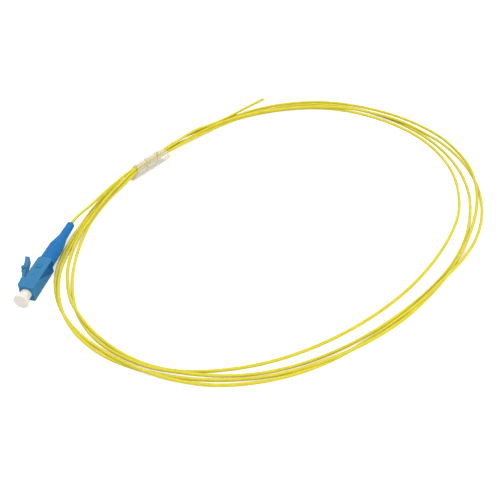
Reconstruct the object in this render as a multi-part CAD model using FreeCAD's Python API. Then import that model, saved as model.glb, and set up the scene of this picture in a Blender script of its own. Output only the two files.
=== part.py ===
import FreeCAD, Part

import math
import os

from FreeCAD import Vector

# A simplex LC plug on the end of a coiled, tied length of 0.9 mm buffered fibre.
# Millimetres. The plug lies on its side: X runs along its axis with the nose towards +X,
# the latch points to -Y, and Z is up from the surface. The origin is under the middle of
# the housing, on the surface.

# Nearness at which two places on a shape count as one
touch = 1e-6

# Housing
side = 4.5
body_length = 12.6
nose_bore_d = 3.2
nose_bore_depth = 3.1
web = 0.6
web_hole_d = 2.3
chamber_d = 3.1
under_arm = 1.8
nose_block = 2.55
nose_block_length = 3.65
nose_bevel = 0.9
nose_bevel_rise = 0.8
heel_bevel = 0.5
edge_round = 0.15
relief_depth = 0.8
relief_length = 7.4
relief_drop = 1.1
relief_lip = 0.3
port_from_heel = 1.2
port_length = 1.5
port_height = 1.2
gate_mark_d = 1.1
gate_mark_depth = 0.08
gate_mark_x = 1.4

# Windows in the housing's upper and lower walls, and the barbs that snap into them
window_length = 1.3
window_width = 1.7
window_from_heel = 3.4
barb_clearance = 0.05
barb_recess = 0.05

# Latch arm. Its places are given rearwards from the pivot and outwards from a square side
# of the housing, and so are the lugs'.
pivot_x = 1.45
pivot_rise = 0.7
knuckle_r = 0.38
knuckle_clearance = 0.03
root_length = 2.9
root_lip = 0.05
root_depth = 0.3
arm_width = 2.2
lug_width = 3.2
arm_back = [
    (7.95, 2.45),
    (8.1, 2.65),
    (8.1, 3.8),
    (7.85, 3.9),
    (7.65, 3.75),
    (7.1, 3.45),
    (5.9, 3.1),
    (4.4, 2.7),
    (3.0, 2.35),
    (2.75, 2.25),
    (2.6, 2.45),
    (1.95, 2.2),
    (1.3, 1.6),
]
lug = [(2.9, 1.7), (2.95, 2.6), (3.3, 2.85), (3.6, 2.85), (3.95, 2.65), (3.95, 1.7)]

# Ferrule and the flange that holds it
ferrule_d = 1.25
ferrule_length = 6.4
ferrule_stand_out = 1.9
ferrule_bevel = 0.2
glass_d = 0.125
coated_d = 0.25
flange_hole_d = 0.5
collar_flats = 2.6
collar_length = 1.4
flange_nose_d = 2.1
flange_nose_past_web = 0.2
flange_tail_d = 1.6
flange_tail_length = 4.5
flange_hole_length = 0.8

# Spring
spring_d = 2.5
spring_wire = 0.28
spring_turns = 5
spring_length = 3.8

# Rear body that closes the housing and carries the boot
slip = 0.05
cup_wall = 0.22
cup_length = 1.7
tail_d = 2.7
tail_length = 6.3
ring_d = 2.95
ring_width = 0.6
ring_count = 4
flange_travel = 1.5

# Liner tube
liner_d = 1.5
liner_past_tail = 0.6

# Boot
boot_d = 4.4
boot_collar_end_d = 4.2
boot_cone_end_d = 2.5
boot_end_d = 2.3
boot_collar_length = 7.2
boot_cone_length = 4.6
boot_sleeve_length = 6.0
boot_end_round = 0.5

# Dust cap
cap_tube_d = 3.0
cap_inside = 2.6
cap_stand_out = 3.4
cap_disc_d = 4.4
cap_disc = 0.7
cap_flare = 0.8
cap_bore_clearance = 0.03
cap_tip_gap = 0.3

# Cord
cord_d = 0.9
buffer_clearance = 0.05

# Coil: a mean oval on the surface, with the inner and outer edge of its turns every 30
# degrees, as distances outwards from the oval
coil_x = -43.92
coil_y = 57.25
coil_half_length = 70.1
coil_half_width = 51.0
coil_turned_deg = -24.55
coil_outer_edge = [2.0, 2.8, 2.3, 1.8, 4.7, 4.0, 1.8, 3.8, 2.6, 1.4, 0.4, 3.3]
coil_inner_edge = [-2.4, -3.1, -4.7, -4.7, -3.1, -3.8, -4.5, -1.5, -0.9, -1.6, -2.1, -1.8]
coil_height = [1.8, 1.8, 1.4, 1.8, 1.8, 1.8, 1.8, 1.8, 1.8, 1.6, 1.0, 1.4]
coil_sections = 48
coil_corner_share = 0.29

# Tie: a spiral strip round the five passes of the cord
tie_bore_d = 3.0
tie_wall = 0.75
tie_pitch = 5.2
tie_strip = 4.9
tie_turns = 2.1
tie_angle_deg = 273.4
tie_inwards = 3.0
bundle_d = 2.43
bundle_rise_deg = 42.0
bundle_flat_deg = 9.0

# Cord routes, chosen points. The lead runs from the boot into the tie. The tail leaves the
# coil past the tie and ends cut.
lead_route = [
    (-27.6, 0.0, 2.25),
    (-33.5, 1.9, 2.35),
    (-41.5, 4.1, 2.55),
    (-48.5, 6.2, 2.65),
    (-55.2, 8.9, 2.6),
]
tail_route = [(-88.6, 25.6, 1.8), (-95.7, 29.7, 1.3), (-103.1, 33.6, 0.7), (-110.2, 37.8, 0.45)]

# Places along the axis that several pieces share
axis_z = side / 2
nose_x = body_length / 2
heel_x = -body_length / 2
web_front_x = nose_x - nose_bore_depth
web_back_x = web_front_x - web
collar_back_x = web_back_x - collar_length
flange_end_x = collar_back_x - flange_tail_length
ferrule_tip_x = nose_x + ferrule_stand_out
ferrule_back_x = ferrule_tip_x - ferrule_length
buffer_front_x = ferrule_back_x - flange_hole_length
spring_seat_x = collar_back_x - spring_length
cup_front_x = spring_seat_x + cup_length
liner_front_x = flange_end_x - flange_travel
tail_end_x = heel_x - tail_length
liner_end_x = tail_end_x - liner_past_tail
boot_cone_x = heel_x - boot_collar_length
boot_sleeve_x = boot_cone_x - boot_cone_length
boot_end_x = boot_sleeve_x - boot_sleeve_length
window_back_x = heel_x + window_from_heel
pivot_y = -side / 2 - pivot_rise
nose_block_x = nose_x - nose_block_length
liner_bore_d = cord_d + 2 * buffer_clearance
rear_d = chamber_d - 2 * slip
tie_outer_d = tie_bore_d + 2 * tie_wall
tie_z = tie_outer_d / 2
bundle_z = tie_wall + bundle_d / 2


def rod(x_from, x_to, diameter):
    """A cylinder on the plug's axis."""
    start = Vector(min(x_from, x_to), 0, axis_z)
    return Part.makeCylinder(diameter / 2, abs(x_to - x_from), start, Vector(1, 0, 0))


def block(x_from, x_to, y_from, y_to, z_from, z_to):
    corner = Vector(x_from, y_from, z_from)
    return Part.makeBox(x_to - x_from, y_to - y_from, z_to - z_from, corner)


def turned(profile):
    """A solid of revolution about the plug's axis from (x, radius) points."""
    points = [Vector(x, 0, axis_z + r) for x, r in profile]
    face = Part.Face(Part.makePolygon(points + points[:1]))
    return face.revolve(Vector(0, 0, axis_z), Vector(1, 0, 0), 360)


def plate(outline, width):
    """An (x, y) outline made solid over a width centred on the plug's axis."""
    low = axis_z - width / 2
    points = [Vector(x, y, low) for x, y in outline]
    face = Part.Face(Part.makePolygon(points + points[:1]))
    return face.extrude(Vector(0, 0, width))


def circles_at(shape, x, radius):
    """The round edges about the plug's axis at one place along it, of one radius."""
    round_edges = [e for e in shape.Edges if isinstance(e.Curve, Part.Circle)]
    there = [e for e in round_edges if abs(e.Curve.Center.x - x) < touch]
    return [e for e in there if abs(e.Curve.Radius - radius) < touch]


def housing_outline():
    half = side / 2
    return [
        (heel_x, -under_arm + heel_bevel),
        (heel_x + heel_bevel, -under_arm),
        (nose_block_x, -under_arm),
        (nose_block_x, -nose_block),
        (nose_x - nose_bevel, -nose_block),
        (nose_x, -nose_block + nose_bevel_rise),
        (nose_x, half),
        (heel_x + heel_bevel, half),
        (heel_x, half - heel_bevel),
    ]


def side_relief():
    """The shallow wedge in the face opposite the latch, deepest at its rear upper corner."""
    face_y = side / 2
    top = side - relief_lip
    point = Vector(heel_x + relief_length, face_y, top)
    corners = [
        Vector(heel_x, face_y, top),
        Vector(heel_x, face_y, axis_z - relief_drop),
        Vector(heel_x, face_y - relief_depth, top),
    ]
    faces = [Part.Face(Part.makePolygon(corners + corners[:1]))]
    for a, b in zip(corners, corners[1:] + corners[:1]):
        faces.append(Part.Face(Part.makePolygon([a, b, point, a])))
    return Part.Solid(Part.makeShell(faces))


def latch_root():
    """The raised root in front of the arm, with the round seat of the arm's end."""
    under = pivot_y + knuckle_r
    top = pivot_y - knuckle_r - root_lip
    foot_x = pivot_x + root_length
    outline = [
        (pivot_x, under),
        (pivot_x, top),
        (pivot_x + root_length / 3, top),
        (foot_x, -nose_block),
        (foot_x, root_depth - nose_block),
        (nose_block_x, root_depth - nose_block),
        (nose_block_x, under),
    ]
    low = Vector(pivot_x, pivot_y, 0)
    seat = Part.makeCylinder(knuckle_r + knuckle_clearance, side, low, Vector(0, 0, 1))
    return plate(outline, arm_width).cut(seat)


def housing():
    """The moulded plug body: nose block, stepped bore, windows, relief and latch root."""
    low = axis_z - side / 2
    points = [Vector(x, y, low) for x, y in housing_outline()]
    body = Part.Face(Part.makePolygon(points + points[:1])).extrude(Vector(0, 0, side))
    lengthwise = [e for e in body.Edges if e.BoundBox.XLength > nose_block_length / 2]
    body = body.makeFillet(edge_round, lengthwise)
    body = body.cut(rod(web_front_x, nose_x, nose_bore_d))
    body = body.cut(rod(web_back_x, web_front_x, web_hole_d))
    body = body.cut(rod(heel_x, web_back_x, chamber_d))
    window = block(
        window_back_x, window_back_x + window_length, -window_width / 2, window_width / 2, low, low + side
    )
    body = body.cut(window)
    body = body.cut(side_relief())
    port_x = heel_x + port_from_heel
    port = block(port_x, port_x + port_length, 0, side, axis_z, axis_z + port_height)
    body = body.cut(port)
    mark = Vector(gate_mark_x, 0, side - gate_mark_depth)
    body = body.cut(Part.makeCylinder(gate_mark_d / 2, side, mark))
    return body.fuse(latch_root()).removeSplitter()


def behind_pivot(outline):
    """Places given as (rearwards of the pivot, outwards from the side), in x and y."""
    return [(pivot_x - rearwards, -side / 2 - outwards) for rearwards, outwards in outline]


def latch_arm():
    """The springing arm: round root, stepped ramp, two lugs, and a lipped end."""
    arm = [(0, pivot_rise - knuckle_r)] + arm_back + [(0, pivot_rise + knuckle_r)]
    arm_plate = plate(behind_pivot(arm), arm_width)
    lug_plate = plate(behind_pivot(lug), lug_width)
    knuckle_low = Vector(pivot_x, pivot_y, axis_z - arm_width / 2)
    knuckle = Part.makeCylinder(knuckle_r, arm_width, knuckle_low, Vector(0, 0, 1))
    return arm_plate.fuse([lug_plate, knuckle]).removeSplitter()


def flange():
    """The turned flange: nose, six-sided collar and tail tube, bored in three steps."""
    across_corners = collar_flats / math.cos(math.pi / 6)
    corners = []
    for i in range(7):
        a = math.pi / 3 * i
        y = across_corners / 2 * math.cos(a)
        z = axis_z + across_corners / 2 * math.sin(a)
        corners.append(Vector(collar_back_x, y, z))
    collar = Part.Face(Part.makePolygon(corners)).extrude(Vector(collar_length, 0, 0))
    nose = rod(web_back_x, web_front_x + flange_nose_past_web, flange_nose_d)
    tail = rod(flange_end_x, collar_back_x, flange_tail_d)
    whole = collar.fuse([nose, tail])
    whole = whole.cut(rod(ferrule_back_x, ferrule_tip_x, ferrule_d))
    whole = whole.cut(rod(buffer_front_x, ferrule_back_x, flange_hole_d))
    return whole.cut(rod(flange_end_x, buffer_front_x, liner_bore_d)).removeSplitter()


def ferrule():
    r = ferrule_d / 2
    glass_r = glass_d / 2
    return turned(
        [
            (ferrule_back_x, glass_r),
            (ferrule_back_x, r),
            (ferrule_tip_x - ferrule_bevel, r),
            (ferrule_tip_x, r - ferrule_bevel),
            (ferrule_tip_x, glass_r),
        ]
    )


def stripped_fibre():
    """The bare glass in the ferrule and its coated root, as far as the buffer's end."""
    glass = rod(ferrule_back_x, ferrule_tip_x, glass_d)
    return glass.fuse(rod(buffer_front_x, ferrule_back_x, coated_d))


def spring():
    """The coil spring between the collar and its seat in the rear body."""
    coil_r = (spring_d - spring_wire) / 2
    length = spring_length - spring_wire
    path = Part.makeHelix(length / spring_turns, length, coil_r)
    section = Part.Wire(Part.makeCircle(spring_wire / 2, Vector(coil_r, 0, 0), Vector(0, 1, 0)))
    wire = Part.Wire(path.Edges).makePipeShell([section], True, True)
    wire.rotate(Vector(0, 0, 0), Vector(0, 1, 0), 90)
    wire.translate(Vector(spring_seat_x + spring_wire / 2, 0, axis_z))
    return wire


def rear_body():
    """The barbed rear body: spring cup, seat, window barbs and the ringed tail for the boot."""
    r = rear_d / 2
    bore = liner_d / 2
    guide = flange_tail_d / 2 + slip
    body = turned(
        [
            (cup_front_x, r - cup_wall),
            (cup_front_x, r),
            (heel_x, r),
            (heel_x, tail_d / 2),
            (tail_end_x, tail_d / 2),
            (tail_end_x, bore),
            (liner_front_x, bore),
            (liner_front_x, guide),
            (spring_seat_x, guide),
            (spring_seat_x, r - cup_wall),
        ]
    )
    pitch = (tail_length - ring_width) / ring_count
    for i in range(ring_count):
        front_x = heel_x - ring_width - i * pitch
        back_x = front_x - ring_width
        inside = (bore + tail_d / 2) / 2
        profile = [(front_x, inside), (front_x, ring_d / 2), (back_x, tail_d / 2), (back_x, inside)]
        body = body.fuse(turned(profile))
    top = side / 2 - barb_recess
    back = window_back_x + barb_clearance
    front = window_back_x + window_length - barb_clearance
    width = window_width - 2 * barb_clearance
    for way in (-1, 1):
        z0 = axis_z + way * (r - cup_wall / 2)
        outline = [
            Vector(back, -width / 2, z0),
            Vector(back, -width / 2, axis_z + way * top),
            Vector(back + window_length / 2, -width / 2, axis_z + way * top),
            Vector(front, -width / 2, z0),
        ]
        barb = Part.Face(Part.makePolygon(outline + outline[:1])).extrude(Vector(0, width, 0))
        body = body.fuse(barb)
    hollow = rod(spring_seat_x, cup_front_x, rear_d - 2 * cup_wall)
    return body.cut(hollow).removeSplitter()


def liner():
    tube = rod(liner_end_x, liner_front_x, liner_d)
    return tube.cut(rod(liner_end_x, liner_front_x, liner_bore_d))


def boot():
    """The soft boot: collar, cone and sleeve with a rounded end, bored for the tail and cord."""
    bore = liner_bore_d / 2
    sleeve_r = boot_end_d / 2
    shell = turned(
        [
            (heel_x, tail_d / 2),
            (heel_x, boot_d / 2),
            (boot_cone_x, boot_collar_end_d / 2),
            (boot_sleeve_x, boot_cone_end_d / 2),
            (boot_end_x, sleeve_r),
            (boot_end_x, bore),
            (liner_end_x - liner_past_tail, bore),
            (liner_end_x, liner_d / 2 + slip),
            (tail_end_x, liner_d / 2 + slip),
            (tail_end_x, tail_d / 2),
        ]
    )
    return shell.makeFillet(boot_end_round, circles_at(shell, boot_end_x, sleeve_r))


def dust_cap():
    """The cap: a tube over the ferrule that stands in the nose, flared into a disc."""
    inner_x = nose_x - cap_inside
    outer_x = nose_x + cap_stand_out
    disc_x = outer_x - cap_disc
    hole = ferrule_d / 2 + cap_bore_clearance
    r = cap_tube_d / 2
    shape = turned(
        [
            (inner_x, hole),
            (inner_x, r),
            (disc_x - cap_flare, r),
            (disc_x - cap_flare / 3, r + (cap_disc_d / 2 - r) / 3),
            (disc_x, cap_disc_d / 2),
            (outer_x, cap_disc_d / 2),
            (outer_x, 0),
            (ferrule_tip_x + cap_tip_gap, 0),
            (ferrule_tip_x + cap_tip_gap, hole),
        ]
    )
    rims = circles_at(shape, disc_x, cap_disc_d / 2) + circles_at(shape, outer_x, cap_disc_d / 2)
    return shape.makeFillet(cap_disc / 3, rims)


def inner_buffer():
    """The cord's straight stretch from the flange to the end of the boot."""
    return rod(boot_end_x, buffer_front_x, cord_d)


def around(values, degrees):
    """Smooth value between entries that stand at equal steps round the coil."""
    step = 360.0 / len(values)
    place = degrees % 360.0 / step
    i = int(place)
    blend = (1 - math.cos(math.pi * (place - i))) / 2
    return values[i] * (1 - blend) + values[(i + 1) % len(values)] * blend


def gathered(degrees):
    """1 where the tie holds the turns together, falling to 0 on both sides of it."""
    away = abs((degrees - tie_angle_deg + 180.0) % 360.0 - 180.0)
    if away <= bundle_flat_deg:
        return 1.0
    if away >= bundle_rise_deg:
        return 0.0
    return (1 + math.cos(math.pi * (away - bundle_flat_deg) / (bundle_rise_deg - bundle_flat_deg))) / 2


def oval(degrees, outwards):
    """A point on the surface, a distance outwards from the coil's mean oval, and its normal."""
    a = math.radians(degrees)
    across = Vector(math.cos(a) / coil_half_length, math.sin(a) / coil_half_width, 0)
    across.normalize()
    place = Vector(coil_half_length * math.cos(a), coil_half_width * math.sin(a), 0) + across * outwards
    turn = FreeCAD.Rotation(Vector(0, 0, 1), coil_turned_deg)
    return turn.multVec(place) + Vector(coil_x, coil_y, 0), turn.multVec(across)


def coil_section(degrees):
    """Eight corners of the coil's outer shape where it is cut across."""
    k = gathered(degrees)
    outer = around(coil_outer_edge, degrees)
    inner = around(coil_inner_edge, degrees)
    middle = (outer + inner) / 2 * (1 - k) - tie_inwards * k
    half = (outer - inner) / 2 * (1 - k) + bundle_d / 2 * k
    low = (bundle_z - bundle_d / 2) * k
    high = around(coil_height, degrees) * (1 - k) + (bundle_z + bundle_d / 2) * k
    cut = (high - low) * coil_corner_share
    profile = [
        (-half, low + cut),
        (-half + cut, low),
        (half - cut, low),
        (half, low + cut),
        (half, high - cut),
        (half - cut, high),
        (-half + cut, high),
        (-half, high - cut),
    ]
    corners = []
    for outwards, z in profile:
        place, _ = oval(degrees, middle + outwards)
        corners.append(place + Vector(0, 0, z))
    return corners


def cord_coil():
    """The outer shape of the coil's turns, as one closed ring of flat facets."""
    rings = [coil_section(360.0 * i / coil_sections) for i in range(coil_sections)]
    faces = []
    for i, here in enumerate(rings):
        ahead = rings[(i + 1) % coil_sections]
        for j in range(8):
            a, b = here[j], here[(j + 1) % 8]
            c, d = ahead[(j + 1) % 8], ahead[j]
            faces.append(Part.Face(Part.makePolygon([a, b, c, a])))
            faces.append(Part.Face(Part.makePolygon([a, c, d, a])))
    return Part.Solid(Part.makeShell(faces))


def cord_tube(name, points):
    """A tube along straight runs joined by arcs, each as large as its two runs allow."""
    edges = []
    here = points[0]
    length = 0.0
    radii = []
    for before, corner, after in zip(points, points[1:], points[2:]):
        back = before - corner
        on = after - corner
        half_turn = (math.pi - back.getAngle(on)) / 2
        trim = 0.45 * min(back.Length, on.Length)
        radius = trim / math.tan(half_turn)
        start = corner + Vector(back).normalize() * trim
        end = corner + Vector(on).normalize() * trim
        inwards = (Vector(back).normalize() + Vector(on).normalize()).normalize()
        crown = corner + inwards * (radius / math.cos(half_turn) - radius)
        edges.append(Part.LineSegment(here, start).toShape())
        edges.append(Part.Arc(start, crown, end).toShape())
        length += (start - here).Length + 2 * radius * half_turn
        radii.append(radius)
        here = end
    edges.append(Part.LineSegment(here, points[-1]).toShape())
    length += (points[-1] - here).Length
    first = (points[1] - points[0]).normalize()
    section = Part.Wire(Part.makeCircle(cord_d / 2, points[0], first))
    tube = Part.Wire(edges).makePipeShell([section], True, False)
    share = tube.Volume / (math.pi * cord_d ** 2 / 4 * length)
    whole_radii = [round(r) for r in radii]
    print(f"{name}: length {length:.1f}, radii {whole_radii}, {share:.4f} of its section times length")
    return tube


def cord_lead():
    """The cord from the boot to the tie."""
    exit_point = Vector(boot_end_x, 0, axis_z)
    return cord_tube("cord_lead", [exit_point] + [Vector(*p) for p in lead_route])


def cord_tail():
    """The free end of the cord, cut off square."""
    return cord_tube("cord_tail", [Vector(*p) for p in tail_route])


def coil_tie():
    """The spiral strip round the bundle, lying on the surface."""
    wall_r = (tie_bore_d + tie_wall) / 2
    rise = tie_turns * tie_pitch
    path = Part.makeHelix(tie_pitch, rise, wall_r)
    inner = tie_bore_d / 2
    outer = inner + tie_wall
    low = -tie_strip / 2
    corners = [
        Vector(inner, 0, low),
        Vector(outer, 0, low),
        Vector(outer, 0, low + tie_strip),
        Vector(inner, 0, low + tie_strip),
    ]
    strip = Part.Wire(path.Edges).makePipeShell([Part.makePolygon(corners + corners[:1])], True, True)
    strip.translate(Vector(0, 0, -rise / 2))
    strip.rotate(Vector(0, 0, 0), Vector(0, 1, 0), -90)
    place, outwards = oval(tie_angle_deg, -tie_inwards)
    heading = math.degrees(math.atan2(outwards.y, outwards.x)) + 90
    strip.rotate(Vector(0, 0, 0), Vector(0, 0, 1), heading)
    strip.translate(Vector(place.x, place.y, tie_z))
    return strip


pieces = {
    "housing": housing,
    "latch_arm": latch_arm,
    "rear_body": rear_body,
    "ferrule": ferrule,
    "ferrule_flange": flange,
    "stripped_fibre": stripped_fibre,
    "spring": spring,
    "liner_tube": liner,
    "inner_buffer": inner_buffer,
    "boot": boot,
    "dust_cap": dust_cap,
    "cord_lead": cord_lead,
    "cord_coil": cord_coil,
    "cord_tail": cord_tail,
    "coil_tie": coil_tie,
}

os.makedirs("parts", exist_ok=True)
for node, make in pieces.items():
    shape = make()
    shape.exportStep(f"parts/{node}.step")
    box = shape.optimalBoundingBox()
    lows = [round(v, 2) for v in (box.XMin, box.YMin, box.ZMin)]
    highs = [round(v, 2) for v in (box.XMax, box.YMax, box.ZMax)]
    print(f"{node}: {len(shape.Solids)} solid, valid {shape.isValid()}, {lows} to {highs}")
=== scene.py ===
# %% [markdown]
# # A fibre pigtail
#
# One length of thin yellow fibre cord with a small blue plug on its end. The cord is wound
# in a flat oval coil of four turns, and a spiral strip of clear plastic holds the turns
# together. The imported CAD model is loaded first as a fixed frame, and everything that is
# made here sits in that same frame, in metres.

import math

import bpy
from mathutils import Matrix, Vector


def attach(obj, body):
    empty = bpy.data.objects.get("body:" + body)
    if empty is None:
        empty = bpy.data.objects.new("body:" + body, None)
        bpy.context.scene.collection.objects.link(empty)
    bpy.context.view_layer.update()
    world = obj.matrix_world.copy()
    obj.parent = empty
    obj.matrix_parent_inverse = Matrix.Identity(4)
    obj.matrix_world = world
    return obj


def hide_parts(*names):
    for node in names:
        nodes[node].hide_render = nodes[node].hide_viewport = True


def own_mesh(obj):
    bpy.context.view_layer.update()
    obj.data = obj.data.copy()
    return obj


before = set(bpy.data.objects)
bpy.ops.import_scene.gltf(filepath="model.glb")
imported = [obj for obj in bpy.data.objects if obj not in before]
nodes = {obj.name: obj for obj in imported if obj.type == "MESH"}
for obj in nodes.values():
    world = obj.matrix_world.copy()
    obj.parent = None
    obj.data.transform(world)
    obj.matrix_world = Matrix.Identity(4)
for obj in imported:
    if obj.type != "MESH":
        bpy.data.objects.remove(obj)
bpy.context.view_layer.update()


mm = 0.001
print("CAD nodes:", sorted(nodes))

# %% [markdown]
# ## The camera
#
# The picture was taken from above the right side of the coil, pitched 40 degrees down. A
# Blender camera looks along its own -Z, so it is tipped 50 degrees up from straight down
# and then turned about Z until it faces the right way.

# %% Camera
camera_place = (0.15372, 0.09622, 0.1564)
camera_pitch = 40
camera_heading = -166.5

bpy.ops.object.camera_add(
    location=camera_place,
    rotation=(math.radians(90 - camera_pitch), 0, math.radians(camera_heading - 90)),
)
camera = bpy.context.object
camera.name = "camera"
camera.data.lens = 61.56
camera.data.sensor_width = 36
camera.data.clip_start = 0.005
bpy.context.scene.camera = camera
print("camera lens in mm:", round(camera.data.lens, 2))

# %% [markdown]
# ## The route of the cord
#
# The whole cord is one smooth curve: straight out of the boot, into the tie, four times
# round the coil and out past the tie to its cut end. A curve that is smooth everywhere
# looks like something springy that was laid down by hand, which straight runs joined by
# arcs never do. So the route is a handful of points on each turn, and a NURBS curve is
# drawn through their neighbourhood.
#
# The coil is described the way that a winder would think of it: a mean oval on the table,
# and for each turn how far outwards from that oval it wanders, and how far it is lifted
# where it lies over another turn. Both are read about every ten degrees.

# %% The mean oval
coil_centre = (-43.92, 57.25)
coil_half_length = 70.1
coil_half_width = 51.0
coil_turned = math.radians(-24.55)


def on_oval(degrees, outwards, height):
    """A point in mm, a distance outwards from the mean oval."""
    a = math.radians(degrees)
    x, y = coil_half_length * math.cos(a), coil_half_width * math.sin(a)
    slope = Vector((math.cos(a) / coil_half_length, math.sin(a) / coil_half_width)).normalized()
    flat = Vector((x, y)) + slope * outwards
    flat.rotate(Matrix.Rotation(coil_turned, 2))
    return Vector((flat.x + coil_centre[0], flat.y + coil_centre[1], height))


print("mean oval:", 2 * coil_half_length, "by", 2 * coil_half_width, "mm")

# %% [markdown]
# The coil is springy, so it presses the five passes of the cord against the outer side of
# the tie. A pass is given by its seat there: how far outwards and how far up it lies from
# the tie's axis.

# %% The passes through the tie
tie_z = 2.15
tie_stations = {280: -2.6, 273.4: -3.2, 266.5: -3.2}
seats = [(1.09, 0.56), (0.46, -0.05), (0.95, -0.77), (-0.49, 0.28), (0.23, 0.82)]


def in_tie(degrees, seat):
    """The point of one pass at a place along the tie."""
    return on_oval(degrees, tie_stations[degrees] + seat[0], tie_z + seat[1])


print("passes through the tie:", len(seats))

# %% [markdown]
# Each turn starts at the right of the tie and comes back to it from the left. An entry is
# the angle, the distance outwards and, where the turn doesn't lie on the table, its
# height.

# %% The turns
turn_one = [
    (260, -0.6, 1.9), (250, 0.7, 0.9), (240, 2.0), (230, 3.4), (220, 3.7), (210, 3.4),
    (200, 2.4), (190, 1.5), (180, 1.5), (170, 1.9), (160, 2.8), (150, 3.2), (143, 3.0, 1.2),
    (136, 2.8, 1.6), (129, 2.8, 1.1), (120, 2.3), (110, 1.6, 1.0), (102, 1.6, 1.1),
    (93, 1.5, 0.5), (80, 1.6), (70, 1.8, 1.0), (63, 2.0, 1.5), (56, 1.6, 1.2), (48, 1.2),
    (40, 0.9), (30, 0.5), (20, 0.3), (10, 0.6), (0, 1.5), (350, 2.2, 0.8),
    (342, 2.5, 1.5), (335, 2.3, 1.5), (328, 2.0, 0.95), (320, 1.5), (310, 0.1),
    (298, -0.6, 0.9), (289, -0.6, 0.9), (284, -1.9, 1.2),
]
turn_two = [
    (260, -2.2, 1.4), (250, -0.8, 1.4), (240, 0.1, 1.35), (230, -0.5, 1.25),
    (220, -0.9, 1.25), (210, -1.4, 1.3), (200, -1.8, 1.4), (190, -2.1, 1.2),
    (182, -2.5, 1.5), (174, -1.8, 1.2), (165, -0.5), (160, 0.5), (150, 1.8), (140, 3.1),
    (130, 4.0), (120, 4.4), (110, 3.85), (101, 2.6, 1.2), (95, 1.7, 1.6), (88, 1.2, 1.4),
    (80, 0.5), (70, 0.6), (60, 1.7), (50, 2.3), (40, 2.4), (30, 2.2), (20, 1.4, 0.8),
    (14, 1.2, 1.4), (7, 0.8, 1.4), (0, 0.4, 0.8), (350, 1.2), (340, 2.4), (330, 3.1),
    (320, 2.7), (310, 1.1), (300, 0.3), (290, 0.3, 0.5), (284, -1.1, 1.1),
]
turn_three = [
    (260, -1.2, 0.9), (250, -0.3, 0.5), (240, 1.2), (230, 1.6), (220, 2.0), (210, 1.7),
    (200, 0.5), (190, -0.9), (180, -1.8), (170, -2.1), (160, -1.7), (150, -1.0),
    (140, -0.1), (130, 0.6), (120, 0.8), (110, 1.1), (100, 0.9), (90, 0.2), (80, -0.4),
    (70, -0.5), (60, -0.3), (50, -0.2), (40, -0.3), (30, -0.6, 0.8), (20, -0.6, 1.5),
    (12, -0.6, 0.9), (0, -0.8), (350, -0.7), (340, -0.9), (330, -1.5), (320, -1.9),
    (310, -2.0), (300, -1.7), (290, -1.9), (284, -3.0, 1.4),
]
turn_four = [
    (260, -3.0, 1.5), (250, -1.5, 0.7), (240, 0.2), (230, 0.1), (220, -0.3), (210, -0.9),
    (200, -2.2), (190, -3.4), (180, -4.0), (170, -4.0), (160, -3.7), (150, -3.2),
    (140, -2.7), (130, -2.6), (120, -2.5), (110, -3.3), (100, -4.0), (90, -4.3),
    (80, -4.5), (70, -4.5), (60, -4.2), (50, -3.7), (40, -3.1), (30, -2.5), (20, -1.5),
    (10, -1.6), (0, -1.9), (350, -1.7, 0.7), (343, -1.2, 1.4), (336, -0.5, 1.5),
    (328, -0.5, 0.9), (320, -0.2), (310, -0.6, 0.8), (300, -1.8, 1.4), (290, -1.7, 1.5),
    (284, -2.4, 2.2),
]
turns = [turn_one, turn_two, turn_three, turn_four]
print("points on the turns:", [len(turn) for turn in turns])

# %% [markdown]
# The two ends are written out as plain points. The lead comes straight out of the boot
# before it bends, and the tail lies across the coil and then on the table.

# %% The two ends and the whole route
cord_d = 0.9
cord_r = cord_d / 2
inside_cut = 0.24
plug_axis_z = 2.25
boot_mouth = (-24.1, 0, plug_axis_z)
lead_points = [
    (-27.6, 0, plug_axis_z), (-33.5, 2.2, 2.35), (-41.5, 4.1, 2.55), (-48.5, 6.2, 2.65),
]
tail_points = [
    (-80.8, 19.95, 2.45), (-88.3, 26.0, 1.8), (-95.5, 30.1, 1.3), (-103.1, 33.6, 0.7),
    (-110.2, 37.8, 0.45),
]


def turn_points(turn):
    """The points of a turn, a little outwards, because the curve cuts inside its points."""
    return [
        on_oval(degrees, outwards + inside_cut, height[0] if height else cord_r)
        for degrees, outwards, *height in turn
    ]


route = [Vector(p) for p in [boot_mouth] + lead_points]
for seat, turn in zip(seats, turns):
    route += [in_tie(degrees, seat) for degrees in tie_stations]
    route += turn_points(turn)
route += [in_tie(degrees, seats[-1]) for degrees in tie_stations]
route += [Vector(p) for p in tail_points]
print("points on the route:", len(route))

# %% [markdown]
# ## The cord as a curve
#
# A curve object with one NURBS spline carries the route, and its round bevel gives the
# cord its thickness. The order and the endpoint setting are made after the points are
# added, because before that they fall back to straight runs. The thickness is given as the
# radius of the points, and the bevel is 1, because Blender takes the points' radius as the
# reach of a curve when it works out how large the curve is.

# %% The cord
curve = bpy.data.curves.new("cord", "CURVE")
curve.dimensions = "3D"
spline = curve.splines.new("NURBS")
spline.points.add(len(route) - 1)
for point, place in zip(spline.points, route):
    point.co = (*(place * mm), 1)
    point.radius = cord_r * mm
spline.order_u = 3
spline.use_endpoint_u = True
spline.resolution_u = 6
curve.bevel_depth = 1
curve.bevel_resolution = 4
curve.use_fill_caps = True
cord = bpy.data.objects.new("cord", curve)
bpy.context.scene.collection.objects.link(cord)
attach(cord, "plug")
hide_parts("cord_lead", "cord_coil", "cord_tail")
print("cord points:", len(spline.points))

# %% [markdown]
# ## Helpers for materials
#
# A material is a small tree of nodes. One function turns a colour as it is picked on a
# screen into the linear values that a node takes, and one adds a node together with its
# settings and links.

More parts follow.
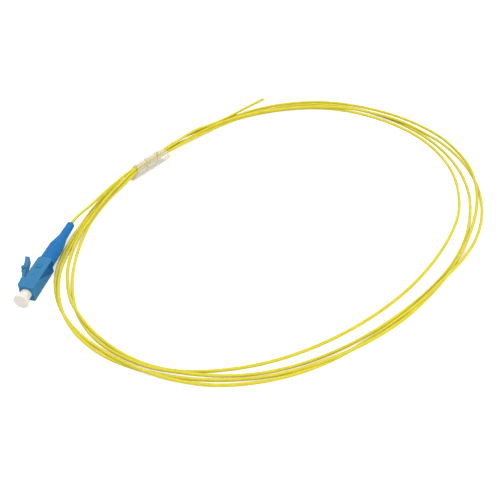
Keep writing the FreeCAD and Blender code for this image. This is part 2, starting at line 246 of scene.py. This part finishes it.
# %% Node helpers
def linear(hex_colour):
    """An sRGB hex colour as linear red, green, blue and alpha."""
    values = [int(hex_colour[i : i + 2], 16) / 255 for i in (1, 3, 5)]
    return [v / 12.92 if v <= 0.04045 else ((v + 0.055) / 1.055) ** 2.4 for v in values] + [1]


def add_node(tree, kind, inputs=(), **settings):
    """A node with its settings, and its inputs given as values or as other sockets."""
    node = tree.nodes.new(kind)
    for name, value in settings.items():
        setattr(node, name, value)
    for key, value in dict(inputs).items():
        if isinstance(value, bpy.types.NodeSocket):
            tree.links.new(value, node.inputs[key])
        else:
            node.inputs[key].default_value = value
    return node


def new_material(name):
    """A material with an empty node tree and its output."""
    made = bpy.data.materials.new(name)
    made.use_nodes = True
    made.node_tree.nodes.clear()
    return made, made.node_tree, made.node_tree.nodes.new("ShaderNodeOutputMaterial")


print("mid grey, #808080, in linear light:", round(linear("#808080")[0], 3))

# %% [markdown]
# ## Floor, lamps and world
#
# The picture has a pure white ground. A floor lit strongly enough to clip would also
# bleach the object, so the floor stays an ordinary pale grey for the light that reaches
# the object, and only adds a little glow of its own where the camera looks at it directly
# or by way of gloss and clear plastic.

# %% The floor
def sees_ground(tree):
    """A socket that is 1 where the camera looks, straight or by way of gloss or glass."""
    rays = add_node(tree, "ShaderNodeLightPath").outputs
    either = add_node(
        tree, "ShaderNodeMath", {0: rays["Is Camera Ray"], 1: rays["Is Glossy Ray"]},
        operation="MAXIMUM",
    )
    return add_node(
        tree, "ShaderNodeMath", {0: either.outputs[0], 1: rays["Is Transmission Ray"]},
        operation="MAXIMUM",
    ).outputs[0]


pure_white = linear("#FFFFFF")
floor_size = 6
bpy.ops.object.select_all(action="DESELECT")
bpy.ops.mesh.primitive_plane_add(size=floor_size, location=(0, 0, 0))
floor = bpy.context.object
floor.name = "floor"

paper, tree, output = new_material("matt_white_paper")
glow_strength = 0.5
glow = add_node(
    tree, "ShaderNodeMath", {0: sees_ground(tree), 1: glow_strength}, operation="MULTIPLY"
)
sheet = add_node(
    tree, "ShaderNodeBsdfPrincipled",
    {"Base Color": linear("#EDEDED"), "Roughness": 0.9, "Emission Strength": glow.outputs[0],
     "Emission Color": pure_white},
)
tree.links.new(sheet.outputs[0], output.inputs["Surface"])
floor.data.materials.append(paper)
print("floor:", floor_size, "m wide, of", paper.name)

# %% [markdown]
# The light is a product photographer's: a wide soft lamp high up and a little to the left
# of the camera's view, a lower one on the right that opens up the shaded sides, and a weaker
# one behind that parts the turns of cord from each other. The world adds an even fill, and
# the camera sees it as pure white.

# %% The world and the lamps
world = bpy.data.worlds.new("studio")
bpy.context.scene.world = world
world.use_nodes = True
sky = world.node_tree
sky.nodes.clear()
fill_light = add_node(sky, "ShaderNodeBackground", {"Color": pure_white, "Strength": 0.4})
white = add_node(sky, "ShaderNodeBackground", {"Color": pure_white, "Strength": 1})
chosen = add_node(
    sky, "ShaderNodeMixShader",
    {0: sees_ground(sky), 1: fill_light.outputs[0], 2: white.outputs[0]},
)
add_node(sky, "ShaderNodeOutputWorld", {"Surface": chosen.outputs[0]})

lamps = [
    ("key_lamp", (0.05, -0.30, 0.75), 0.55, 3.6),
    ("fill_lamp", (0.25, 0.55, 0.38), 0.60, 2.8),
    ("back_lamp", (-0.55, 0.00, 0.60), 0.50, 1.8),
]
middle = Vector((-0.03, 0.04, 0))
for name, place, size, watts in lamps:
    bpy.ops.object.light_add(type="AREA", location=place)
    lamp = bpy.context.object
    lamp.name = name
    lamp.data.shape = "SQUARE"
    lamp.data.size = size
    lamp.data.energy = watts
    lamp.rotation_euler = (middle - lamp.location).to_track_quat("-Z", "Y").to_euler()
    print(name, watts, "W")
bpy.context.scene.view_settings.view_transform = "Standard"

# %% [markdown]
# ## Materials
#
# The plastics on this part differ in how they were made, and that is what the eye tells
# them apart by: the moulded plug is satin with a faint grain, its relief is smoother and has
# a darker blue that is painted shade, and the boot is softer. Each pattern lies on the object's
# own place and is sized in millimetres, so it has the same grain on every piece. The grain of a
# real mould is finer still: it is drawn as coarse as it has to be to soften the gloss.

# %% Moulded plastics
cloud_mm = 2.86


def set_ends(ramp, *ends):
    """The two ends of a colour ramp, each given as its place and its colour."""
    for element, (place, colour) in zip(ramp.color_ramp.elements, ends):
        element.position = place
        element.color = colour


def moulded(name, colour, roughness, grain_mm, depth_mm, mottle=0.04, **sockets):
    """A moulded plastic: fine grain from the mould, and slightly uneven colour and gloss."""
    made, tree, output = new_material(name)
    place = add_node(tree, "ShaderNodeTexCoord").outputs["Object"]
    grain = add_node(
        tree, "ShaderNodeTexNoise",
        {"Vector": place, "Scale": 1 / (grain_mm * mm), "Detail": 3, "Roughness": 0.6},
    )
    cloud = add_node(
        tree, "ShaderNodeTexNoise", {"Vector": place, "Scale": 1 / (cloud_mm * mm), "Detail": 2}
    )
    shade = add_node(tree, "ShaderNodeValToRGB", {"Fac": cloud.outputs["Fac"]})
    base = linear(colour)
    darker = [v * (1 - mottle) for v in base[:3]] + [1]
    lighter = [min(1, v * (1 + mottle)) for v in base[:3]] + [1]
    set_ends(shade, (0.3, darker), (0.7, lighter))
    gloss = add_node(
        tree, "ShaderNodeMapRange",
        {"Value": grain.outputs["Fac"], "To Min": roughness - 0.05, "To Max": roughness + 0.07},
    )
    bump = add_node(
        tree, "ShaderNodeBump",
        {"Height": grain.outputs["Fac"], "Distance": depth_mm * mm, "Strength": 0.5},
    )
    shader = add_node(
        tree, "ShaderNodeBsdfPrincipled",
        {"Base Color": shade.outputs["Color"], "Roughness": gloss.outputs[0],
         "Normal": bump.outputs["Normal"], **sockets},
    )
    tree.links.new(shader.outputs[0], output.inputs["Surface"])
    return made


low_shine = {"Specular IOR Level": 0.15}
pbt_blue = moulded("moulded_blue_pbt", "#3278A4", 0.5, 0.12, 0.012, **low_shine)
# The relief's blue is darker than the plug's as painted shade; its lower shine and shallower
# grain are its own.
relief_shade_blue_pbt = moulded(
    "blue_pbt_painted_shade", "#085A9E", 0.45, 0.2, 0.006, **{"Specular IOR Level": 0.08}
)
elastomer_blue = moulded("soft_blue_elastomer", "#196BAA", 0.55, 0.16, 0.015, **low_shine)
polyethylene = moulded(
    "natural_polyethylene", "#E2DED3", 0.42, 0.3, 0.01,
    **{"Subsurface Weight": 0.35, "Subsurface Radius": (0.001, 0.0009, 0.0008)},
)
fluoropolymer = moulded("white_fluoropolymer", "#EDEDE8", 0.35, 0.1, 0.004)
zirconia = moulded("polished_zirconia", "#F0F0EB", 0.14, 0.05, 0.001, mottle=0.015)
outside = [pbt_blue, relief_shade_blue_pbt, elastomer_blue, polyethylene]
print("plastics on the outside:", [made.name for made in outside])
print("inside the plug:", fluoropolymer.name, zirconia.name)

# %% [markdown]
# The metals are told by their marks. The flange was turned on a lathe, so it has fine rings
# one after another along its length, and the spring is drawn wire with short streaks. The
# glass fibre is clear, with a faint unevenness in its coating.

# %% Metals and glass
def metal(name, colour, roughness, marks_mm, depth_mm):
    """A metal whose fine marks are noise of a different size along x, y and z."""
    made, tree, output = new_material(name)
    place = add_node(tree, "ShaderNodeTexCoord").outputs["Object"]
    marks = add_node(
        tree, "ShaderNodeMapping",
        {"Vector": place, "Scale": [1 / (size * mm) for size in marks_mm]},
    )
    noise = add_node(
        tree, "ShaderNodeTexNoise", {"Vector": marks.outputs[0], "Scale": 1, "Detail": 4}
    )
    gloss = add_node(
        tree, "ShaderNodeMapRange",
        {"Value": noise.outputs["Fac"], "To Min": roughness - 0.06, "To Max": roughness + 0.1},
    )
    bump = add_node(
        tree, "ShaderNodeBump",
        {"Height": noise.outputs["Fac"], "Distance": depth_mm * mm, "Strength": 0.4},
    )
    shader = add_node(
        tree, "ShaderNodeBsdfPrincipled",
        {"Base Color": linear(colour), "Metallic": 1, "Roughness": gloss.outputs[0],
         "Normal": bump.outputs["Normal"]},
    )
    tree.links.new(shader.outputs[0], output.inputs["Surface"])
    return made


nickel = metal("turned_nickel_plate", "#C6BFA6", 0.22, (0.0625, 1.11, 1.11), 0.004)
spring_steel = metal("drawn_spring_steel", "#B2B2B4", 0.3, (0.4, 0.111, 0.111), 0.003)

coat_mm = 0.2
glass, tree, output = new_material("drawn_glass_fibre")
place = add_node(tree, "ShaderNodeTexCoord").outputs["Object"]
coat = add_node(tree, "ShaderNodeTexNoise", {"Vector": place, "Scale": 1 / (coat_mm * mm)})
gloss = add_node(
    tree, "ShaderNodeMapRange", {"Value": coat.outputs["Fac"], "To Min": 0.03, "To Max": 0.12}
)
shader = add_node(
    tree, "ShaderNodeBsdfPrincipled",
    {"Base Color": linear("#F4F8FA"), "Roughness": gloss.outputs[0], "Transmission Weight": 0.9,
     "IOR": 1.46},
)
tree.links.new(shader.outputs[0], output.inputs["Surface"])
print("metals and glass:", nickel.name, spring_steel.name, glass.name)

# %% [markdown]
# The cord's jacket is extruded, so it is smooth: its colour drifts a little along the cord,
# and fine ripples from the die break up its shine.

# %% The cord's jacket
drift_mm, ripple_mm, ripple_depth_mm = 3.85, 0.286, 0.01
jacket, tree, output = new_material("extruded_yellow_jacket")
place = add_node(tree, "ShaderNodeTexCoord").outputs["Object"]
cloud = add_node(
    tree, "ShaderNodeTexNoise", {"Vector": place, "Scale": 1 / (drift_mm * mm), "Detail": 3}
)
shade = add_node(tree, "ShaderNodeValToRGB", {"Fac": cloud.outputs["Fac"]})
set_ends(shade, (0.3, linear("#CCC026")), (0.7, linear("#D5C93A")))
fine = add_node(
    tree, "ShaderNodeTexNoise", {"Vector": place, "Scale": 1 / (ripple_mm * mm), "Detail": 2}
)
gloss = add_node(
    tree, "ShaderNodeMapRange", {"Value": fine.outputs["Fac"], "To Min": 0.38, "To Max": 0.5}
)
bump = add_node(
    tree, "ShaderNodeBump",
    {"Height": fine.outputs["Fac"], "Distance": ripple_depth_mm * mm, "Strength": 0.4},
)
shader = add_node(
    tree, "ShaderNodeBsdfPrincipled",
    {"Base Color": shade.outputs["Color"], "Roughness": gloss.outputs[0],
     "Normal": bump.outputs["Normal"], "Specular IOR Level": 0.25},
)
tree.links.new(shader.outputs[0], output.inputs["Surface"])
curve.materials.append(jacket)
print("the cord is of", jacket.name)

# %% [markdown]
# The tie is milky but lets the cord show through. Its two walls are thin, so a part of the
# light simply passes them, and less of it where the surface turns away from the eye and the
# way through the plastic is longer.

# %% The tie's clear plastic
haze_mm = 2.38
clear, tree, output = new_material("milky_clear_polyethylene")
place = add_node(tree, "ShaderNodeTexCoord").outputs["Object"]
cloud = add_node(
    tree, "ShaderNodeTexNoise", {"Vector": place, "Scale": 1 / (haze_mm * mm), "Detail": 3}
)
shade = add_node(tree, "ShaderNodeValToRGB", {"Fac": cloud.outputs["Fac"]})
set_ends(shade, (0.3, linear("#DCD4C9")), (0.7, linear("#E6DFD7")))
rim = add_node(tree, "ShaderNodeLayerWeight", {"Blend": 0.5})
body = add_node(
    tree, "ShaderNodeMapRange",
    {"Value": rim.outputs["Facing"], "To Min": 0.18, "To Max": 0.7},
)
shader = add_node(
    tree, "ShaderNodeBsdfPrincipled",
    {"Base Color": shade.outputs["Color"], "Roughness": 0.3, "Alpha": body.outputs[0]},
)
tree.links.new(shader.outputs[0], output.inputs["Surface"])
print("the tie is of", clear.name)

# %% [markdown]
# ## The tie
#
# The tie is spiral wrap: a clear tube cut along a helix, so that it can be wound on from
# the side. It could be a helix swept by a profile, but the cut here is steeper on the upper
# side than below, and the two ends of the tube are cut a little askew, so the strip runs
# out to a point at each end. So it starts as a flat grid, as long as the winding, and each
# of its points is wound onto the tube, between the strip's two edges at that angle. Angles
# are in degrees round the tie from its outer side, over the top. Lengths are in mm along it
# from its middle, towards the plug, which the camera sees on the left.

# %% Winding the strip
tie_at = 273.4
tie_wall = 0.5
tie_bore_r, tie_taper = 1.92, 0.018
tie_pitch = 4.7
tie_gap = 0.2
tie_askew = 0.065
strip_from, strip_to = -560, 774
seam_start, seam_start_angle = 2.9, 136
seam_sway, seam_sway_angle = 0.6, 46
right_end, right_slant, right_slant_angle = -5.6, 0.8, 5
left_end, left_slant, left_slant_angle = 7.45, 1.45, 250
sprung_open, sprung_angle, sprung_reach = 0.8, -300, 90
narrowest = 0.1
tie_outwards = (on_oval(tie_at, 0, 0) - on_oval(tie_at, -1, 0)).normalized()
tie_lengthwise = Vector((-tie_outwards.y, tie_outwards.x, 0))


def cosine(angle):
    """The cosine of an angle in degrees."""
    return math.cos(math.radians(angle))


def seam(angle):
    """How far along the tie the helical cut lies, at an angle round it, in mm."""
    climb = tie_pitch * (angle - seam_start_angle) / 360
    return seam_start + climb - seam_sway * cosine(angle - seam_sway_angle)


def strip_edges(angle):
    """The strip's two edges, which stop at the ends of the tube. One bend has sprung open."""
    tube_right = right_end + right_slant * cosine(angle - right_slant_angle)
    tube_left = left_end + left_slant * cosine(angle - left_slant_angle)
    sprung = sprung_open * max(0, 1 - abs(angle - sprung_angle) / sprung_reach)
    right = max(seam(angle - 360) + tie_gap, tube_right)
    left = min(seam(angle) - sprung, tube_left)
    return right, max(left, right + narrowest)


def wound(x, y):
    """The place of a point of the flat strip, given by its share of the length and width."""
    angle = strip_from + (strip_to - strip_from) * x
    right, left = strip_edges(angle)
    along = right + (left - right) * y
    wall_r = tie_bore_r - tie_taper * along
    axis_out = tie_stations[tie_at] + tie_askew * along
    middle = on_oval(tie_at, axis_out, wall_r + tie_wall / 2)
    up = Vector((0, 0, math.sin(math.radians(angle))))
    return middle + tie_lengthwise * along + (tie_outwards * cosine(angle) + up) * wall_r


bpy.ops.object.select_all(action="DESELECT")
bpy.ops.mesh.primitive_grid_add(x_subdivisions=136, y_subdivisions=6, size=1)
tie = bpy.context.object
tie.name = "spiral_tie"
for vertex in tie.data.vertices:
    vertex.co = wound(vertex.co.x + 0.5, vertex.co.y + 0.5) * mm
windings = (strip_to - strip_from) / 360
print("strip of", len(tie.data.polygons), "quads, wound", round(windings, 2), "times")

# %% [markdown]
# The strip gets its wall, its cut edges are broken, and it is shaded smooth except over
# those edges.

# %% The wall of the strip
def select_only(piece):
    """A piece that is selected by itself, because an operator acts on all that is selected."""
    bpy.ops.object.select_all(action="DESELECT")
    piece.select_set(True)
    bpy.context.view_layer.objects.active = piece


def apply_modifier(piece, kind, **settings):
    """A modifier that is set and applied at once."""
    select_only(piece)
    modifier = piece.modifiers.new(kind.lower(), kind)
    for name, value in settings.items():
        setattr(modifier, name, value)
    bpy.ops.object.modifier_apply(modifier=modifier.name)


tie_edge = 0.07
cut_edge = math.radians(50)
apply_modifier(tie, "SOLIDIFY", thickness=tie_wall * mm, offset=0)
apply_modifier(
    tie, "BEVEL", width=tie_edge * mm, segments=2, limit_method="ANGLE", angle_limit=cut_edge
)
bpy.ops.object.shade_smooth_by_angle(angle=cut_edge)
tie.data.materials.append(clear)
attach(tie, "plug")
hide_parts("coil_tie")
print("tie:", len(tie.data.polygons), "faces")

# %% [markdown]
# The cord and its tie are both made now: a stiff cord with one end in the boot,
# laid in a coil, and a bare cut end.

# %% What the cord is
print("cord and its tie:", cord.name, tie.name)

# %% [markdown]
# ## The moulded pieces
#
# The side of the housing has a wedge-shaped relief that gets deeper towards the back and
# the top. It could be drawn on the side and pushed in, but it runs out to nothing along its
# lower edge, so it is cut with a wedge: a small pyramid whose corners are put in place.

# %% The wedge for the relief
wedge_front_x, wedge_back_x = 2.9, -6.4
wedge_low_z, wedge_top_z = -0.7, 4.2
wedge_outer_y, wedge_deep_y = 2.27, 1.75
wedge_corners = [
    (wedge_front_x, wedge_outer_y, wedge_top_z), (wedge_back_x, wedge_outer_y, wedge_low_z),
    (wedge_back_x, wedge_outer_y, wedge_top_z), (wedge_back_x, wedge_deep_y, wedge_top_z),
]
bpy.ops.object.select_all(action="DESELECT")
bpy.ops.mesh.primitive_cone_add(vertices=3, radius1=1, depth=1)
wedge = bpy.context.object
for vertex, corner in zip(wedge.data.vertices, wedge_corners):
    vertex.co = Vector(corner) * mm
bpy.ops.object.mode_set(mode="EDIT")
bpy.ops.mesh.select_all(action="SELECT")
bpy.ops.mesh.normals_make_consistent(inside=False)
bpy.ops.object.mode_set(mode="OBJECT")
print("wedge:", len(wedge.data.polygons), "faces")

# %% [markdown]
# A CAD body comes as triangles with knife-sharp edges. Real mouldings have broken edges
# that catch a thin line of light, and the eye reads them as plastic by that line. So the
# outer mouldings are copied, their triangles are joined back into whole faces, and each
# hard edge gets a bevel of a few hundredths of a millimetre.

# %% Copies with broken edges
joined_within = 0.001
flat_within = math.radians(1)
hard_edge = math.radians(35)
smooth_below = math.radians(30)


def merged_copy(node_name, new_name, whole_faces=False):
    """A copy of a CAD node, selected by itself: its triangles joined, or made whole faces."""
    piece = bpy.data.objects.new(new_name, nodes[node_name].data.copy())
    bpy.context.scene.collection.objects.link(piece)
    select_only(piece)
    bpy.ops.object.mode_set(mode="EDIT")
    bpy.ops.mesh.select_all(action="SELECT")
    bpy.ops.mesh.remove_doubles(threshold=joined_within * mm)
    if whole_faces:
        bpy.ops.mesh.dissolve_limited(angle_limit=flat_within)
    bpy.ops.object.mode_set(mode="OBJECT")
    return piece


def put_in_place(piece, node_name, body, material):
    """A finished copy takes the node's place, on its body and in its own material."""
    bpy.ops.object.shade_smooth_by_angle(angle=smooth_below)
    piece.data.materials.clear()
    piece.data.materials.append(material)
    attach(piece, body)
    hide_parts(node_name)
    print(piece.name, len(piece.data.polygons), "faces")


def moulding(node_name, body, material, bevel_mm, cutter=None):
    """A copy of a CAD node with whole faces and broken edges, in place of that node."""
    piece = merged_copy(node_name, node_name + "_moulding", whole_faces=True)
    if cutter:
        apply_modifier(piece, "BOOLEAN", operation="DIFFERENCE", object=cutter, solver="EXACT")
        bpy.data.objects.remove(cutter)
    apply_modifier(
        piece, "BEVEL", width=bevel_mm * mm, segments=2, limit_method="ANGLE",
        angle_limit=hard_edge,
    )
    put_in_place(piece, node_name, body, material)
    return piece


shell = moulding("housing", "plug", pbt_blue, 0.07, wedge)
moulding("latch_arm", "latch", pbt_blue, 0.05)

# %% [markdown]
# The wedge in the side of the housing gets a darker blue, which is painted shade, and less
# shine. It is the one large face that looks sideways, slightly up and slightly back, so its
# normal tells it apart.

# %% The relief in painted shade
least_sideways, least_backwards = 0.9, 0.05
shell.data.materials.append(relief_shade_blue_pbt)
for face in shell.data.polygons:
    if face.normal.y > least_sideways and -face.normal.x > least_backwards:
        face.material_index = 1
# These are the faces that carry the painted shade.
print("polished faces:", sum(face.material_index for face in shell.data.polygons))

# %% [markdown]
# Two pieces give way when the ferrule is pushed in: the spring gets shorter, and so does the
# stretch of cord behind the ferrule. Each is copied with its triangles joined, and the copy
# takes the node's place with a mesh of its own.


def yielding(node_name, new_name, material):
    """A copy of a CAD node with its triangles joined, in the node's place on the plug."""
    piece = merged_copy(node_name, new_name)
    put_in_place(piece, node_name, "plug", material)
    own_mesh(piece)


yielding(
    "spring", "ferrule_spring", spring_steel
)
yielding("inner_buffer", "inner_cord", jacket)

# %% [markdown]
# The other pieces already have the right edges, so they keep their meshes and only get
# their materials.

# %% Finishes of the CAD nodes
finishes = {
    "rear_body": pbt_blue, "boot": elastomer_blue, "dust_cap": polyethylene,
    "liner_tube": fluoropolymer, "ferrule": zirconia, "ferrule_flange": nickel,
    "stripped_fibre": glass,
}
for name, material in finishes.items():
    nodes[name].data.materials.clear()
    nodes[name].data.materials.append(material)
print("finished:", sorted(finishes))
